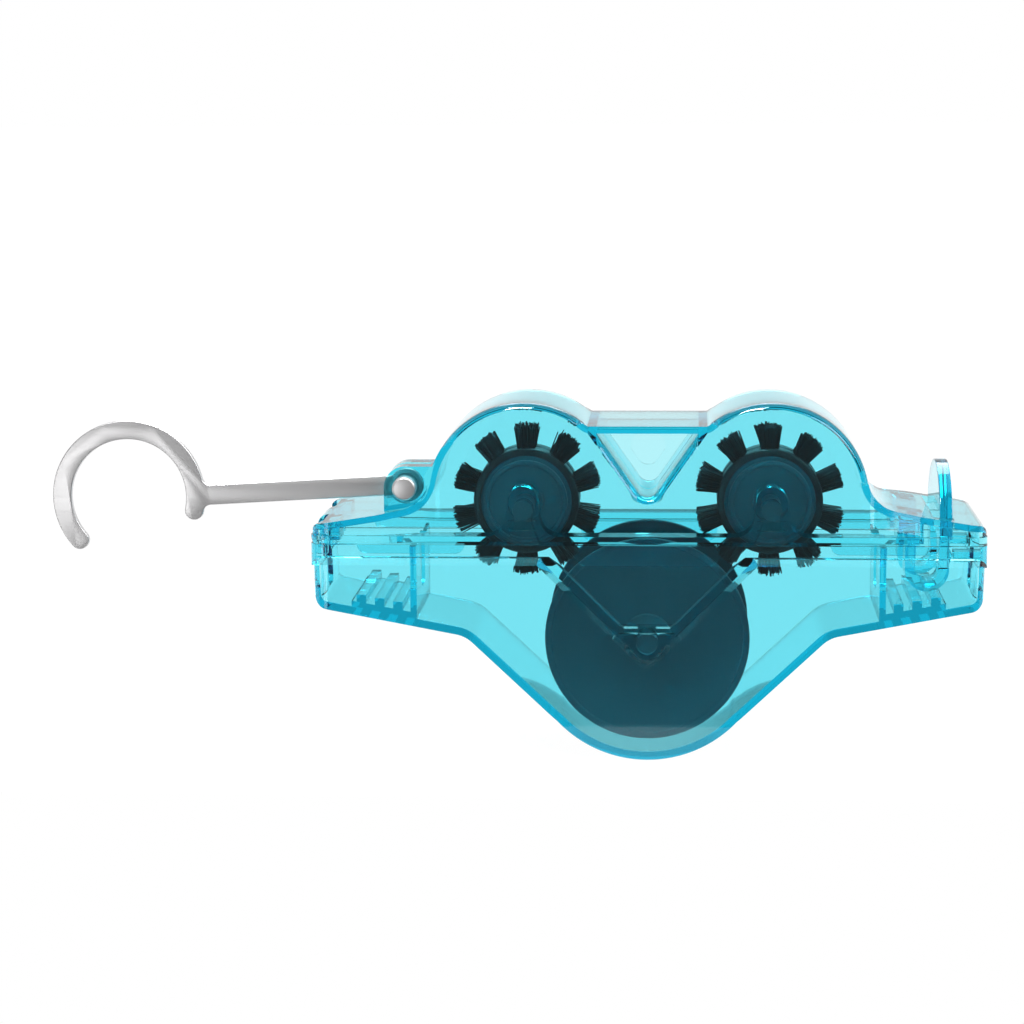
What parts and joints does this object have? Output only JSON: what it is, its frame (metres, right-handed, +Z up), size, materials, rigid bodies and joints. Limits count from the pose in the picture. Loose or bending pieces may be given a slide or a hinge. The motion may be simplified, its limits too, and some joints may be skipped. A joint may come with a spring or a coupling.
{
  "type": "chain cleaner",
  "caption": "Clear hinged box that closes round a bicycle chain, with turning brush wheels, a scrub wheel, a flat steel hook to hang it by and a press latch.",
  "frame": {"origin": "on the chain's centre line, halfway along the housing and in its middle plane", "axes": "+X along the chain towards the latch, -Y the front, +Z up towards the brush wheels"},
  "size_m": [0.2357, 0.05, 0.09],
  "materials": {
    "clear_plastic": "clear and glossy",
    "dark_plastic": "smooth, dark teal",
    "bristle": "nylon strands",
    "steel": "brushed"
  },
  "bodies": {
    "tank": {"tank_shell": "clear_plastic"},
    "cover": {"cover_shell": "clear_plastic", "hook_pin": "steel", "latch_spring": "clear_plastic"},
    "hook": {"hook_arm": "steel"},
    "latch": {"latch_tab": "clear_plastic"},
    "left_brush": {"left_brush_axle": "dark_plastic", "left_brush_hub": "dark_plastic", "left_brush_front_cap": "dark_plastic", "left_brush_rear_cap": "dark_plastic", "left_brush_front_bristles": "bristle", "left_brush_rear_bristles": "bristle"},
    "right_brush": {"right_brush_axle": "dark_plastic", "right_brush_hub": "dark_plastic", "right_brush_front_cap": "dark_plastic", "right_brush_rear_cap": "dark_plastic", "right_brush_front_bristles": "bristle", "right_brush_rear_bristles": "bristle"},
    "scrub_wheel": {"scrub_axle": "dark_plastic", "scrub_roller": "dark_plastic", "scrub_front_disc": "dark_plastic", "scrub_rear_disc": "dark_plastic", "scrub_front_bristles": "bristle", "scrub_rear_bristles": "bristle"}
  },
  "joints": [
    {"name": "cover_tilt", "type": "hinge", "parent": "tank", "child": "cover", "pos_m": [-0.0821, 0, 0.0111], "axis": [0, -1, 0], "range_deg": [0, 85]},
    {"name": "hook_swing", "type": "hinge", "parent": "cover", "child": "hook", "pos_m": [-0.0608, -0.011, 0.0225], "axis": [0, 1, 0], "range_deg": [0, 118]},
    {"name": "latch_press", "type": "hinge", "parent": "cover", "child": "latch", "pos_m": [0.0697, 0, 0.0022], "axis": [0, -1, 0], "range_deg": [0, 6], "stiffness_Nm_per_rad": 0.6},
    {"name": "left_brush_spin", "type": "hinge", "parent": "cover", "child": "left_brush", "pos_m": [-0.0309, 0, 0.0176], "axis": [0, 1, 0], "continuous": true},
    {"name": "right_brush_spin", "type": "hinge", "parent": "cover", "child": "right_brush", "pos_m": [0.0309, 0, 0.0176], "axis": [0, 1, 0], "continuous": true},
    {"name": "scrub_spin", "type": "hinge", "parent": "tank", "child": "scrub_wheel", "pos_m": [0, 0, -0.016], "axis": [0, 1, 0], "continuous": true}
  ]
}
